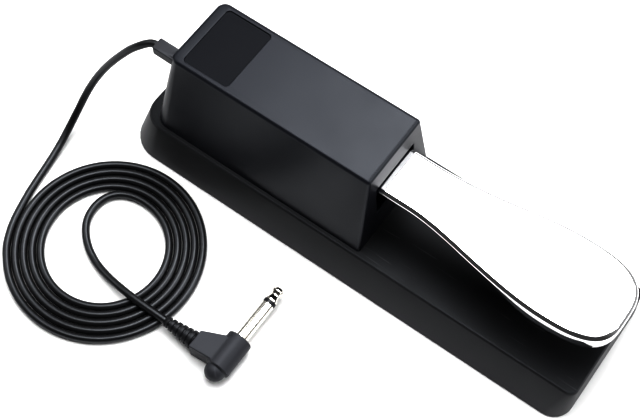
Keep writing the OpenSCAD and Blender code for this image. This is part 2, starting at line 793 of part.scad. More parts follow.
module switch_nuts() {
    nut_x = switch_w / 2 + switch_plate_t;
    color("silver") for (y = switch_hole_y) difference() {
        translate([nut_x, y, switch_hole_z]) rotate([0, 90, 0])
            cylinder(d = switch_screw_d * 2.2, h = nut_h, $fn = 6);
        rod_x(switch_screw_d + 2 * pilot_gap, nut_x - through, nut_x + nut_h + through,
            y, switch_hole_z);
    }
}

module switch_wires() {
    color("firebrick") translate([0, pivot_y - route_pivot_y, 0]) {
        sweep(wire_a, wire_d);
        sweep(wire_b, wire_d);
    }
}

// ---- lead ----

module inner_lead() {
    color("#1a1a1c") translate([0, pivot_y - route_pivot_y, 0])
        sweep(inner_run, cord_d, [1, 0, 0]);
}

module cord_clamp() {
    y0 = clamp_y[0];
    y1 = clamp_y[1];
    x1 = clamp_x + cord_d / 2 + 1.3;
    color("ivory") difference() {
        box([x1 - clamp_w, y0, base_h], [x1, y1, base_h + clamp_h]);
        translate([clamp_x, y0 - through, clamp_cord_z]) rotate([-90, 0, 0])
            cylinder(d = cord_d + 2 * run_gap, h = y1 - y0 + 2 * through);
        at_clamp_screw() rod_z(screw_d + 2 * pass_gap, 0, 0, base_h - through,
            base_h + clamp_h + through);
    }
}

module clamp_screw() {
    color("silver") at_clamp_screw() screw_down(0, 0, base_h + clamp_h, clamp_h + deck_screw_l);
}

module cord_gland() {
    color("#232327") {
        difference() {
            box([gland_x - gland_w / 2, house_rear_y - wall, gland_z - gland_h / 2],
                [gland_x + gland_w / 2, gland_end_y, gland_z + gland_h / 2]);
            housing_outside();
        }
        translate([gland_x, house_rear_y - 4, gland_z]) rotate([-90, 0, 0])
            cylinder(d = spigot_gland_d, h = 8);
    }
}

module cord_run() {
    color("#1a1a1c") sweep(lead_run, cord_d);
}

module cord_coil() {
    color("#1a1a1c") translate([coil_x, coil_y, 0]) rotate_extrude()
        translate([coil_r_in, 0]) square([coil_r_out - coil_r_in, cord_d]);
}

module cord_tail() {
    color("#1a1a1c") sweep(lead_tail, cord_d);
}

// ---- plug ----

module plug_relief() {
    l = relief_y[1] - relief_y[0];
    step = l / relief_ribs;
    color("#1d1d20") translate([relief_x, relief_y[1], plug_z]) rotate([90, 0, 0])
        rotate_extrude() polygon(concat([[0, 0]],
            [for (i = [0:relief_ribs - 1]) let (t = i / (relief_ribs - 1),
                r = (relief_d[0] + t * (relief_d[1] - relief_d[0])) / 2)
                each [[r, i * step], [r, (i + 0.6) * step],
                    [r - 0.7, (i + 0.6) * step], [r - 0.7, (i + 1) * step]]],
            [[0, l]]));
}

module plug_body() {
    half = plug_z - 1;
    rear_x = collar_x - barrel_l;
    outline = [[relief_x - 5, relief_y[0]], [relief_x + 4.5, relief_y[0]],
        [collar_x - 3.5, plug_y + 5], [collar_x - 3.5, plug_y],
        [rear_x + 1, plug_y], [rear_x + 1, plug_y + 5]];
    color("#56565f") difference() {
        union() {
            translate([0, 0, plug_z - half]) linear_extrude(2 * half) polygon(outline);
            rod_x(barrel_d, rear_x, collar_x, plug_y, plug_z);
            rod_x(dome_d, rear_x - 1, rear_x + thin, plug_y, plug_z);
            translate([rear_x - 1, plug_y, plug_z]) sphere(d = dome_d);
        }
        rod_x(plug_d - 1 + 2 * seat_gap, collar_x - 6, collar_x + through, plug_y, plug_z);
    }
}

module plug_sleeve() {
    ring_x = collar_x + plug_l - plug_tip_l - plug_ring_l;
    color("#d8d8d4") difference() {
        union() {
            rod_x(plug_d - 1, collar_x - 6, collar_x + thin, plug_y, plug_z);
            rod_x(plug_d, collar_x, ring_x, plug_y, plug_z);
        }
        rod_x(3.4, plug_core_x, ring_x + through, plug_y, plug_z);
    }
}

module plug_ring() {
    ring_x = collar_x + plug_l - plug_tip_l - plug_ring_l;
    color("#18181a") difference() {
        union() {
            rod_x(plug_d, ring_x, ring_x + plug_ring_l, plug_y, plug_z);
            rod_x(3.4 - 2 * seat_gap, plug_core_x, ring_x + thin, plug_y, plug_z);
        }
        rod_x(2, plug_core_x - through, ring_x + plug_ring_l + through, plug_y, plug_z);
    }
}

// The tip narrows to a waist that the socket's spring catches, and ends in a rounded point.
module plug_tip() {
    tip_x = collar_x + plug_l - plug_tip_l;
    r = plug_d / 2;
    core_l = tip_x - plug_core_x;
    color("#d8d8d4") translate([tip_x, plug_y, plug_z]) rotate([0, 90, 0])
        rotate_extrude() polygon([[0, -core_l], [1 - seat_gap, -core_l],
            [1 - seat_gap, 0], [r, 0], [r, 0.8], [r - 1, 3.2], [r - 1, 4], [r, 5.4], [r, 6],
            [r - 0.9, 7.4], [r - 2, plug_tip_l], [0, plug_tip_l]]);
}

base_shell();
bottom_plate();
sole_pad();
plate_screws();
housing_shell();
label_plate();
housing_screws();
pivot_bracket();
bracket_screws();
pivot_pin();
pin_clip();
pivot_bushes();
pedal_shell();
pedal_arm();
return_spring();
spring_seat();
spring_button();
upper_stop_pad();
lower_buffer();
switch_bracket();
switch_bracket_screws();
switch_body();
switch_plunger();
switch_lever();
switch_terminals();
switch_screws();
switch_nuts();
inner_lead();
switch_wires();
cord_clamp();
clamp_screw();
cord_gland();
cord_run();
cord_coil();
cord_tail();
plug_relief();
plug_body();
plug_sleeve();
plug_ring();
plug_tip();
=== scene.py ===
# %% [markdown]
# # A sustain pedal
# A sustain pedal is a chromed foot lever in a black moulded housing. It holds a spring and a
# small switch, and a thin lead with a jack plug carries the signal to a keyboard.
# The CAD model is loaded first and stays fixed. Everything made here is placed by its
# coordinates, in metres, with the floor at height zero and the foot end towards -Y.

# %% Load the CAD frame
import json
import math

import bmesh
import bpy
import numpy as np
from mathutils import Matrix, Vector

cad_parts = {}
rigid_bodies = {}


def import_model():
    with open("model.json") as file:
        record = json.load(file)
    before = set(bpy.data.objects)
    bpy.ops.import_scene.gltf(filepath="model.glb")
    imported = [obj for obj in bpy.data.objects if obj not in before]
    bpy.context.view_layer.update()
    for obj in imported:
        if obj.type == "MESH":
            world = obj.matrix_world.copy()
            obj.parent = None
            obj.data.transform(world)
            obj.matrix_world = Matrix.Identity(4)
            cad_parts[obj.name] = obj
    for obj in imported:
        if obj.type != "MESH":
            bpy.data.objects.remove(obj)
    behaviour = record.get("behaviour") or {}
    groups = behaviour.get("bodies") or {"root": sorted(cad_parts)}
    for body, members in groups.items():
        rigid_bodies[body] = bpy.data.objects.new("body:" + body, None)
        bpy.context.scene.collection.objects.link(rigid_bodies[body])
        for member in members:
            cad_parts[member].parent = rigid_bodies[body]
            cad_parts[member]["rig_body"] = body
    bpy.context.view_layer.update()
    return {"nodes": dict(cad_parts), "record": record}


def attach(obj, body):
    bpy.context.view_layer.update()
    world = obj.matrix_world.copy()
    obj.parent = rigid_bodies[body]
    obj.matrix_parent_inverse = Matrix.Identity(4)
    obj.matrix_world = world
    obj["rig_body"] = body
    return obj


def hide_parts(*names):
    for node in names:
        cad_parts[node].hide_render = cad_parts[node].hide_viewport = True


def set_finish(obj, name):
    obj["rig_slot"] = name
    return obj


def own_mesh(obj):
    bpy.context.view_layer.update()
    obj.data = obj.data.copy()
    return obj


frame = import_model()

nodes = frame["nodes"]
slot_of = {entry["node"]: entry["material_slot"] for entry in frame["record"]["subparts"]}
MM = 0.001

# %% [markdown]
# ## The camera
# The camera is aimed by three easy numbers: how far round it stands, how high, and how far
# away. A long lens keeps the base's edges nearly parallel, as in a product picture.

# %% Camera
LENS = 72.56
LOOK_AT = Vector((-0.0217, 0.0202, 0.020))
AROUND, ABOVE, AWAY = math.radians(-54.2), math.radians(63.3), 0.6085


def from_the_front(around, above):
    """Direction from the pedal to a viewer; 0, 0 is straight in front of the foot end."""
    return Vector((math.cos(above) * math.sin(around), -math.cos(above) * math.cos(around),
                   math.sin(above)))


camera = bpy.data.objects.new("camera", bpy.data.cameras.new("camera"))
camera.data.lens = LENS
camera.data.clip_start = 0.02
camera.location = LOOK_AT + AWAY * from_the_front(AROUND, ABOVE)
camera.rotation_euler = (LOOK_AT - camera.location).to_track_quat("-Z", "Y").to_euler()
bpy.context.scene.collection.objects.link(camera)
bpy.context.scene.camera = camera
print("camera at", [round(v, 3) for v in camera.location])

# %% [markdown]
# ## The lead
# The real lead is a limp vinyl cable. It leaves the gland, falls to the floor, runs into a flat
# coil and comes back over the coil to the plug. A curve object with a round bevel could make it.
# A mesh tube is made instead, because its box and its surface are then exactly what is seen. The
# route has a few listed points where it is free and a formula for the coil. A Catmull-Rom
# spline then joins them smoothly, because it passes through every point and needs no handles.

# %% The lead's route
LEAD_D = 3.8 * MM
COIL_X, COIL_Y, COIL_Z, WHOLE_TURNS = -90.4, 96.8, 1.9, 4
POINTS_PER_TURN = 24
OUT_OF_GLAND = [
    (-15.9, 117, 66.7), (-15.9, 118.8, 66.7), (-16.8, 121.2, 66), (-18.8, 125.2, 63.2),
    (-21, 130.2, 58.2), (-23.6, 135.4, 51.4), (-26.2, 140.4, 44), (-29.2, 145, 36),
    (-33, 148.6, 28.2), (-38, 151, 20.6), (-44.4, 152.2, 13.2), (-52, 152.4, 7.4),
    (-60.2, 151.6, 4), (-68.2, 150.5, 2.5), (-75.8, 149.4, 1.9), (-83, 148.2, 1.9),
    (-90.4, 146.8, 1.9), (-98, 144.9, 1.9), (-106.1, 142.5, 1.9), (-113.8, 139, 1.9),
    (-120.5, 134.4, 1.9)]
BACK_TO_PLUG = [
    (-61.1, 96, 1.9), (-61.8, 103.4, 1.9), (-64.7, 110, 1.9), (-70, 114.4, 1.9),
    (-77.4, 115.8, 1.9), (-85, 114, 1.9), (-91.2, 109.4, 1.9), (-96.2, 103, 1.9),
    (-99.8, 95.2, 2), (-102, 87, 3), (-103.4, 79, 4.8), (-104.2, 71.6, 5.8),
    (-104.5, 64, 6.1), (-104.5, 56, 6.2), (-104.5, 48, 6.2)]
print("hand-placed points:", len(OUT_OF_GLAND) + len(BACK_TO_PLUG))

# %% [markdown]
# A coil is easiest in polar numbers: an angle that grows steadily while the distance from the
# middle shrinks steadily. The turns then lie one diameter apart, side by side on the floor.

# %% The coil
def polar(point):
    """How far a point is from the coil's middle, and in which direction."""
    x, y = point[0] - COIL_X, point[1] - COIL_Y
    return math.hypot(x, y), math.atan2(y, x)


def coil_points():
    """Turns between the last point of the first stretch and the first point of the last."""
    (r0, a0), (r1, a1) = polar(OUT_OF_GLAND[-1]), polar(BACK_TO_PLUG[0])
    a1 += 2 * math.pi * (WHOLE_TURNS + 1)
    count = round((a1 - a0) / (2 * math.pi) * POINTS_PER_TURN)
    made = []
    for i in range(1, count):
        a = a0 + (a1 - a0) * i / count
        r = r0 + (r1 - r0) * i / count
        made.append((COIL_X + r * math.cos(a), COIL_Y + r * math.sin(a), COIL_Z))
    return made


print("coil, points:", len(coil_points()))

# %% The whole route
def smooth_route(points, steps=5):
    """Catmull-Rom spline through the points."""
    p = np.array(points, float)
    p = np.vstack([2 * p[0] - p[1], p, 2 * p[-1] - p[-2]])
    made = []
    for i in range(1, len(p) - 2):
        a, b, c, d = p[i - 1:i + 3]
        for t in np.arange(steps) / steps:
            made.append(0.5 * (2 * b + (c - a) * t + (2 * a - 5 * b + 4 * c - d) * t ** 2
                               + (3 * b - a - 3 * c + d) * t ** 3))
    made.append(p[-2])
    return np.array(made)


route = smooth_route(OUT_OF_GLAND + coil_points() + BACK_TO_PLUG) * MM

# %% [markdown]
# A tube is a ring of points at every step of the route. If each ring chose its own upright, the
# tube would twist where the route turns over. So each ring starts from the one before it and is
# turned only as much as the route turns.

# %% The lead as a tube
def tube(name, centres, radius, sides=14):
    """A round mesh tube along the centres, closed at both ends."""
    ahead = np.gradient(centres, axis=0)
    ahead /= np.linalg.norm(ahead, axis=1)[:, None]
    out = np.cross(ahead[0], (0, 0, 1.0))
    rings = []
    for centre, along in zip(centres, ahead):
        out = out - along * (out @ along)
        out /= np.linalg.norm(out)
        third = np.cross(along, out)
        turn = np.arange(sides) * 2 * math.pi / sides
        rings.append(centre + radius * (np.outer(np.cos(turn), out)
                                        + np.outer(np.sin(turn), third)))
    count = len(rings)
    faces = [(i * sides + k, i * sides + (k + 1) % sides, (i + 1) * sides + (k + 1) % sides,
              (i + 1) * sides + k) for i in range(count - 1) for k in range(sides)]
    faces += [tuple(range(sides))[::-1], tuple((count - 1) * sides + k for k in range(sides))]
    mesh = bpy.data.meshes.new(name)
    mesh.from_pydata(np.vstack(rings).tolist(), [], faces)
    mesh.shade_smooth()
    return bpy.data.objects.new(name, mesh)


lead = tube("lead", route, LEAD_D / 2)
bpy.context.scene.collection.objects.link(lead)
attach(lead, "frame")
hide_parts("cord_run", "cord_coil", "cord_tail")
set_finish(lead, "cord_pvc")
print("lead diameter, mm:", LEAD_D / MM, "faces:", len(lead.data.polygons))

# %% [markdown]
# ## Turning CAD edges into moulded edges
# A CAD solid has knife-sharp edges, and a real moulding never has. The small radius along an
# edge is what catches the light and draws the fine bright line that the eye reads as plastic.
# A copy of the CAD mesh gets its doubled points merged and its flat faces joined. Then only the
# sharp edges are bevelled, so the overall size stays the same.

# %% Bevelled copies
MERGE_WITHIN = 2e-6
FLAT_WITHIN, CREASE_ABOVE = math.radians(0.5), math.radians(40)


def softened(node, name, passes, sharp=28):
    """A copy of a CAD node with its sharp edges rounded. The copy stands for the node.

    Each pass is a radius, its number of segments and a test of the edge's middle, in mm.
    """
    mesh = nodes[node].data.copy()
    mesh.name = name
    bm = bmesh.new()
    bm.from_mesh(mesh)
    bmesh.ops.remove_doubles(bm, verts=bm.verts, dist=MERGE_WITHIN)
    bmesh.ops.dissolve_limit(bm, angle_limit=FLAT_WITHIN, verts=bm.verts, edges=bm.edges)
    rounded = []
    for radius, segments, wanted in passes:
        edges = [e for e in bm.edges if len(e.link_faces) == 2
                 and e.calc_face_angle(0) > math.radians(sharp)
                 and wanted((e.verts[0].co + e.verts[1].co) / 2 / MM)]
        bmesh.ops.bevel(bm, geom=edges, offset=radius * MM, offset_type="OFFSET",
                        segments=segments, profile=0.5, affect="EDGES", clamp_overlap=False)
        rounded.append(len(edges))
    bmesh.ops.triangulate(bm, faces=[f for f in bm.faces if len(f.verts) > 4])
    bm.to_mesh(mesh)
    bm.free()
    mesh.shade_smooth()
    mesh.set_sharp_from_angle(angle=CREASE_ABOVE)
    piece = bpy.data.objects.new(name, mesh)
    weigh = piece.modifiers.new("weighted", "WEIGHTED_NORMAL")
    weigh.keep_sharp = True
    weigh.weight = 100
    bpy.context.scene.collection.objects.link(piece)
    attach(piece, nodes[node]["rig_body"])
    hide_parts(node)
    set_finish(piece, slot_of[node])
    print(name, "edges rounded:", rounded, "faces:", len(mesh.polygons))
    return piece


print("points closer than", MERGE_WITHIN / MM, "mm are merged")

# %% [markdown]
# A moulding isn't equally round everywhere. The housing's top has a generous radius that the
# hand meets, its sunk panel a fine one, and the slot in front one between them. A few tests on an
# edge's place choose the radius, and an edge that passes none stays as the CAD has it.

# %% Which edges are rounded
def panel_rim(p):
    return abs(p.x) < 17.6 and 74.5 < p.y < 101 and p.z > 70.5


def housing_top(p):
    return p.z > 70.5 and not panel_rim(p)


def slot_rim(p):
    return p.y < -5.3 and abs(p.x) < 15 and 36 < p.z < 58.5


def gland_end(p):
    return p.y > 109


def deck_rim(p):
    return p.z > 20


def plug_above_floor(p):
    return p.z > 1


def relief_ribs(p):
    return 31.5 < p.y < 47.5


print("edge tests:", len((panel_rim, housing_top, slot_rim, gland_end, deck_rim,
                          plug_above_floor, relief_ribs)))

# %% The rounded pieces
base = softened("base_shell", "base", [(1.0, 4, deck_rim)])
housing = softened("housing_shell", "housing",
                   [(1.6, 5, housing_top), (0.25, 2, panel_rim), (0.5, 3, slot_rim)])
gland = softened("cord_gland", "gland", [(0.5, 3, gland_end)])
plug = softened("plug_body", "plug", [(0.6, 3, plug_above_floor)])
relief = softened("plug_relief", "relief", [(0.2, 2, relief_ribs)])
print("rounded pieces:", [p.name for p in (base, housing, gland, plug, relief)])

# %% [markdown]
# ## The chromed pedal
# The real pedal is pressed from one sheet of steel, so its rim turns down with a round shoulder.
# Mirror chrome shows every facet, and a bevelled CAD mesh would give itself away. The pedal is
# lofted again from the same curves as the CAD outline. Each ring follows the outline at its own
# inset and depth, and the rings go over the shoulder, down the skirt and back up inside.

# %% The pedal's curves
FRONT_Y, TIP_Y, REAR_Y = -5, -126, 29
NECK_HALF, PAD_HALF = 13.4, 22.5
NECK_TOP, PAD_TOP = 56.3, 54.4
NECK_DEPTH, PAD_DEPTH = 3, 8.5
TIP_L, TIP_POWER = 34, 3.1
FLARE_START, FLARE_L = 15, 75           # distances from the housing's front
DIP_START, DIP_L = 17, 40
EDGE_START, EDGE_L = 59, 28
DROOP, DROOP_L = 1.5, 16
SHEET, CROWN = 1.6, 0.3


def ease(t):
    """A smooth step from 0 to 1."""
    t = min(1, max(0, t))
    return t * t * (3 - 2 * t)


def top_height(y):
    return (NECK_TOP - (NECK_TOP - PAD_TOP) * ease((FRONT_Y - DIP_START - y) / DIP_L)
            - DROOP * (max(0, TIP_Y + DROOP_L - y) / DROOP_L) ** 2)


def rim_depth(y):
    return NECK_DEPTH + (PAD_DEPTH - NECK_DEPTH) * ease((FRONT_Y - EDGE_START - y) / EDGE_L)


def half_width(y, inset):
    flare = NECK_HALF + (PAD_HALF - NECK_HALF) * ease((FRONT_Y - FLARE_START - y) / FLARE_L)
    t = max(0, TIP_Y + TIP_L - y) / (TIP_L - inset)
    return (flare - inset) * max(0, 1 - t ** TIP_POWER) ** (1 / TIP_POWER)


def outline(inset, count=70, tip_count=40):
    """Right half of the pedal's outline, from the rear to the middle of the tip."""
    straight = np.linspace(REAR_Y, TIP_Y + TIP_L, count, endpoint=False)
    tip = TIP_Y + TIP_L - (TIP_L - inset) * np.sin(np.linspace(0, math.pi / 2, tip_count))
    return [(half_width(y, inset), y) for y in np.concatenate([straight, tip])]


print("pedal widths, mm:", {y: round(2 * half_width(y, 0), 1) for y in (0, -40, -70, -100)})

# %% [markdown]
# The rim is where the chrome shows its shape. The press folds the sheet twice: a first fold
# starts a narrow sloping shoulder, and a second turns it down into the skirt. The shoulder
# mirrors the dark side of the room and the skirt mirrors the floor, which draws a dark line and
# a bright one along the pedal's side.

# %% The pedal's rings
# The shoulder's section: how far in from the edge, and how far below the top, in mm.
SHOULDER = [(1.9, 0), (1.8, 0.01), (1.65, 0.05), (1.5, 0.12), (1.1, 0.33), (0.75, 0.54),
            (0.45, 0.76), (0.25, 0.94), (0.1, 1.12), (0.03, 1.32), (0, 1.55)]
DEEPEST_INSET = 12.5


def pedal_rings():
    """(inset, depth below the top, height above the rim): one of the last two is None."""
    made = [(inset, 0, None) for inset in (DEEPEST_INSET, 10, 7.5, 5.5, 4, 2.6)]
    made += [(inset, drop, None) for inset, drop in SHOULDER]
    made += [(0, None, 0.35), (0.12, None, 0.1), (SHEET * 0.3, None, 0),
             (SHEET * 0.7, None, 0), (SHEET - 0.12, None, 0.1), (SHEET, None, 0.35)]
    made += [(SHEET, SHEET + 1.0, None), (SHEET + 0.5, SHEET + 0.3, None)]
    made += [(inset, SHEET, None) for inset in (SHEET + 1.2, 5, 8, DEEPEST_INSET)]
    return made


def ring_points(inset, drop, above_rim):
    crown = CROWN * (1 - inset / DEEPEST_INSET)
    right = []
    for x, y in outline(inset):
        deep = drop + crown if drop is not None else rim_depth(y) - above_rim
        right.append((x, y, top_height(y) - deep))
    return right + [(-x, y, z) for x, y, z in reversed(right[:-1])]


print("rings:", len(pedal_rings()), "points in each:", len(ring_points(0, 0, None)))

# %% [markdown]
# The rings are joined by bands of four-sided faces. The innermost ring on top and the one
# underneath are closed straight across, because the sheet is nearly flat there.

# %% The pedal's mesh
def close_middle(bm, ring):
    """Joins the two halves of a ring across the middle of the pedal."""
    n = len(ring)
    for i in range(n // 2 - 1):
        bm.faces.new((ring[i], ring[n - 1 - i], ring[n - 2 - i], ring[i + 1]))
    bm.faces.new((ring[n // 2 - 1], ring[n // 2 + 1], ring[n // 2]))


def loft_pedal():
    bm = bmesh.new()
    made = [[bm.verts.new(Vector(p) * MM) for p in ring_points(*ring)]
            for ring in pedal_rings()]
    for a, b in zip(made, made[1:]):
        for i in range(len(a) - 1):
            bm.faces.new((a[i], a[i + 1], b[i + 1], b[i]))
    close_middle(bm, made[0])
    close_middle(bm, made[-1])
    bmesh.ops.remove_doubles(bm, verts=bm.verts, dist=1e-6)
    bmesh.ops.recalc_face_normals(bm, faces=bm.faces)
    for f in bm.faces:
        f.smooth = True
    mesh = bpy.data.meshes.new("pedal")
    bm.to_mesh(mesh)
    bm.free()
    return mesh


pedal = bpy.data.objects.new("pedal", loft_pedal())
bpy.context.scene.collection.objects.link(pedal)
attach(pedal, "pedal")
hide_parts("pedal_shell")
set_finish(pedal, "pedal_chrome")
print("pedal faces:", len(pedal.data.polygons))

# %% [markdown]
# ## The return spring
# The real spring shortens as the pedal goes down. A helix of wire can't do that as a rigid piece.
# Here the wire is a plain copy of the CAD mesh with smooth shading, fixed to the frame at its
# CAD length.

# %% The spring
spring = bpy.data.objects.new("spring", nodes["return_spring"].data.copy())
spring.data.shade_smooth()
bpy.context.scene.collection.objects.link(spring)
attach(spring, "frame")
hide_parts("return_spring")
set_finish(spring, slot_of["return_spring"])
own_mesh(spring)

# %% [markdown]
# ## Shared surface effects
# Several materials need the same small effects, so each effect is a node group with named
# sockets. A material places the group and gives it its own numbers. The groups work in object
# coordinates, so a grain keeps its real size on every piece.

# %% Node group helpers
FLOAT, VECTOR = "NodeSocketFloat", "NodeSocketVector"


def new_group(name, inputs, outputs):
    group = bpy.data.node_groups.new(name, "ShaderNodeTree")
    for label, kind, value in inputs:
        socket = group.interface.new_socket(label, in_out="INPUT", socket_type=kind)
        if value is not None:
            socket.default_value = value
    for label, kind in outputs:
        group.interface.new_socket(label, in_out="OUTPUT", socket_type=kind)
    return group, group.nodes.new("NodeGroupInput"), group.nodes.new("NodeGroupOutput")


def add(tree, kind, **settings):
    node = tree.nodes.new(kind)
    for key, value in settings.items():
        setattr(node, key, value)
    return node


def maths(tree, operation, a, b):
    node = add(tree, "ShaderNodeMath", operation=operation)
    for socket, value in zip(node.inputs, (a, b)):
        if isinstance(value, (int, float)):
            socket.default_value = value
        else:
            tree.links.new(value, socket)
    return node.outputs[0]


print("socket kinds:", FLOAT, VECTOR)

# %% [markdown]
# The steel of a mould is spark-eroded, and every moulding copies its fine pits. They are too
# small to see one by one, but they break up reflections. Modelling them would need millions of
# faces, so a noise at the pits' real size bumps the surface instead. A wider noise varies the
# roughness a little, as uneven polish does.

# %% Group: moulded grain
def make_grain():
    """Fine spark-eroded texture of a mould: a normal, and roughness that varies a little."""
    group, into, out = new_group(
        "moulded_grain",
        [("Grain per mm", FLOAT, 2.0), ("Depth mm", FLOAT, 0.02), ("Roughness", FLOAT, 0.5),
         ("Roughness spread", FLOAT, 0.1)],
        [("Normal", VECTOR), ("Roughness", FLOAT)])
    where = add(group, "ShaderNodeTexCoord")
    scale = maths(group, "MULTIPLY", into.outputs["Grain per mm"], 1000)
    fine = add(group, "ShaderNodeTexNoise", noise_dimensions="3D")
    fine.inputs["Detail"].default_value = 2
    group.links.new(where.outputs["Object"], fine.inputs["Vector"])
    group.links.new(scale, fine.inputs["Scale"])
    wide = add(group, "ShaderNodeTexNoise", noise_dimensions="3D")
    wide.inputs["Scale"].default_value = 45
    wide.inputs["Detail"].default_value = 4
    group.links.new(where.outputs["Object"], wide.inputs["Vector"])
    bump = add(group, "ShaderNodeBump")
    bump.inputs["Strength"].default_value = 1
    group.links.new(maths(group, "MULTIPLY", into.outputs["Depth mm"], 0.001),
                    bump.inputs["Distance"])
    group.links.new(fine.outputs["Fac"], bump.inputs["Height"])
    spread = maths(group, "SUBTRACT", wide.outputs["Fac"], 0.5)
    spread = maths(group, "MULTIPLY", spread, into.outputs["Roughness spread"])
    rough = maths(group, "ADD", maths(group, "MULTIPLY", spread, 2.0),
                  into.outputs["Roughness"])
    group.links.new(bump.outputs["Normal"], out.inputs["Normal"])
    group.links.new(rough, out.inputs["Roughness"])
    return group


grain_group = make_grain()
print(grain_group.name, "has", len(grain_group.nodes), "nodes")

# %% [markdown]
# A pedal is handled and trodden on. Fingers leave cloudy smears, and grit leaves thin scratches
# that mostly run one way. One noise is stretched a lot for the scratches and another is left
# round for the smears, and both become one mask that each material weighs as it likes.

# %% Group: handling marks
def make_marks():
    """Cloudy smears and thin scratches. Puts out a mask from 0 to 1."""
    group, into, out = new_group(
        "handling_marks",
        [("Smears", FLOAT, 0.5), ("Scratches", FLOAT, 0.3)], [("Mask", FLOAT)])
    where = add(group, "ShaderNodeTexCoord")
    cloud = add(group, "ShaderNodeTexNoise", noise_dimensions="3D")
    cloud.inputs["Scale"].default_value = 30
    cloud.inputs["Detail"].default_value = 6
    cloud.inputs["Distortion"].default_value = 0.6
    group.links.new(where.outputs["Object"], cloud.inputs["Vector"])
    turn = add(group, "ShaderNodeMapping")
    turn.inputs["Rotation"].default_value = (0.2, 0.1, 0.5)
    turn.inputs["Scale"].default_value = (900, 40, 300)
    group.links.new(where.outputs["Object"], turn.inputs["Vector"])
    hair = add(group, "ShaderNodeTexNoise", noise_dimensions="3D")
    hair.inputs["Scale"].default_value = 1
    hair.inputs["Detail"].default_value = 3
    group.links.new(turn.outputs["Vector"], hair.inputs["Vector"])
    thin = add(group, "ShaderNodeMapRange")
    thin.inputs["From Min"].default_value = 0.66
    thin.inputs["From Max"].default_value = 0.72
    group.links.new(hair.outputs["Fac"], thin.inputs["Value"])
    soft = add(group, "ShaderNodeMapRange")
    soft.inputs["From Min"].default_value = 0.45
    soft.inputs["From Max"].default_value = 0.8
    group.links.new(cloud.outputs["Fac"], soft.inputs["Value"])
    total = maths(group, "ADD",
                  maths(group, "MULTIPLY", soft.outputs["Result"], into.outputs["Smears"]),
                  maths(group, "MULTIPLY", thin.outputs["Result"], into.outputs["Scratches"]))
    group.links.new(maths(group, "MINIMUM", total, 1.0), out.inputs["Mask"])
    return group


marks_group = make_marks()
print(marks_group.name, "has", len(marks_group.nodes), "nodes")

# %% [markdown]
# Black plastic turns paler where it is rubbed, and that is along its edges. The same pale band
# also stands in for the light that a rounded edge catches, so it is partly a painted highlight.
# The
# Geometry node's Pointiness says how sharply the surface bends, so an edge is found without a
# map.

# %% Group: worn edges with a painted highlight
def make_worn_and_lit_edges():
    """Finds convex edges by how far the surface bends, for a pale band: rubbed wear and a painted
    highlight.
    """
    group, into, out = new_group(
        "rubbed_and_lit_edges", [("Start", FLOAT, 0.52), ("End", FLOAT, 0.62)], [("Mask", FLOAT)])
    shape = add(group, "ShaderNodeNewGeometry")
    band = add(group, "ShaderNodeMapRange")
    group.links.new(shape.outputs["Pointiness"], band.inputs["Value"])
    group.links.new(into.outputs["Start"], band.inputs["From Min"])
    group.links.new(into.outputs["End"], band.inputs["From Max"])
    group.links.new(band.outputs["Result"], out.inputs["Mask"])
    return group


worn_and_lit_edges_group = make_worn_and_lit_edges()
print("groups:", [g.name for g in bpy.data.node_groups])

# %% [markdown]
# ## Materials
# Every finish is a Principled BSDF in its own material. The constants sit on the shader's own
# sockets, and the groups feed only what varies over the surface. Two helpers place a group with
# its values and blend two colours by a mask.

# %% Material helpers
FINISH = {}


def place(tree, group, **values):
    node = tree.nodes.new("ShaderNodeGroup")
    node.node_tree = group
    for label, value in values.items():
        node.inputs[label.replace("_", " ")].default_value = value
    return node


def blended(tree, mask, low, high):
    mix = add(tree, "ShaderNodeMix", data_type="RGBA")
    mix.inputs["A"].default_value = (*low, 1)
    mix.inputs["B"].default_value = (*high, 1)
    tree.links.new(mask, mix.inputs["Factor"])
    return mix.outputs["Result"]


print("finishes to make:", len(set(slot_of.values())))

# %% [markdown]
# The mouldings, the lead's vinyl, the rubbers, the felt and the arm's paint are all dull skins
# over a dark or pale body. They differ in colour, gloss and grain, so one function makes them
# all. Smears, rubbed edges and a painted highlight along the edges blend the body colour
# towards a paler one.

# %% Plastics, rubbers and paint
def moulded(name, colour, rub_and_highlight, roughness, grain=1.5, depth=0.012, spread=0.08, specular=0.4,
            smears=0.5, edge_wear_and_highlight=0.5, sheen=0.0, tint=(0.9, 0.94, 1.0)):
    """A moulded material: base colour, the paler colour of its smears, wear and painted edge
    highlight, and its grain.
    """
    material = FINISH[name] = bpy.data.materials.new(name + ".look")
    material.use_nodes = True
    tree = material.node_tree
    shader = tree.nodes["Principled BSDF"]
    skin = place(tree, grain_group, Grain_per_mm=grain, Depth_mm=depth, Roughness=roughness,
                 Roughness_spread=spread)
    marks = place(tree, marks_group, Smears=smears, Scratches=0.25)
    edges = place(tree, worn_and_lit_edges_group)
    # The mask adds smears to a pale edge band that is partly rubbed wear and partly a painted
    # highlight.
    mask = maths(tree, "MAXIMUM", maths(tree, "MULTIPLY", marks.outputs["Mask"], 0.35),
                 maths(tree, "MULTIPLY", edges.outputs["Mask"], edge_wear_and_highlight))
    tree.links.new(blended(tree, mask, colour, rub_and_highlight), shader.inputs["Base Color"])
    tree.links.new(skin.outputs["Roughness"], shader.inputs["Roughness"])
    tree.links.new(skin.outputs["Normal"], shader.inputs["Normal"])
    shader.inputs["Specular IOR Level"].default_value = specular
    shader.inputs["Specular Tint"].default_value = (*tint, 1)
    shader.inputs["Sheen Weight"].default_value = sheen


# The paler colour serves smears, rubbed wear and a painted highlight along the edges.
print("a skin is made from its colour, the colour it rubs to, and its roughness")
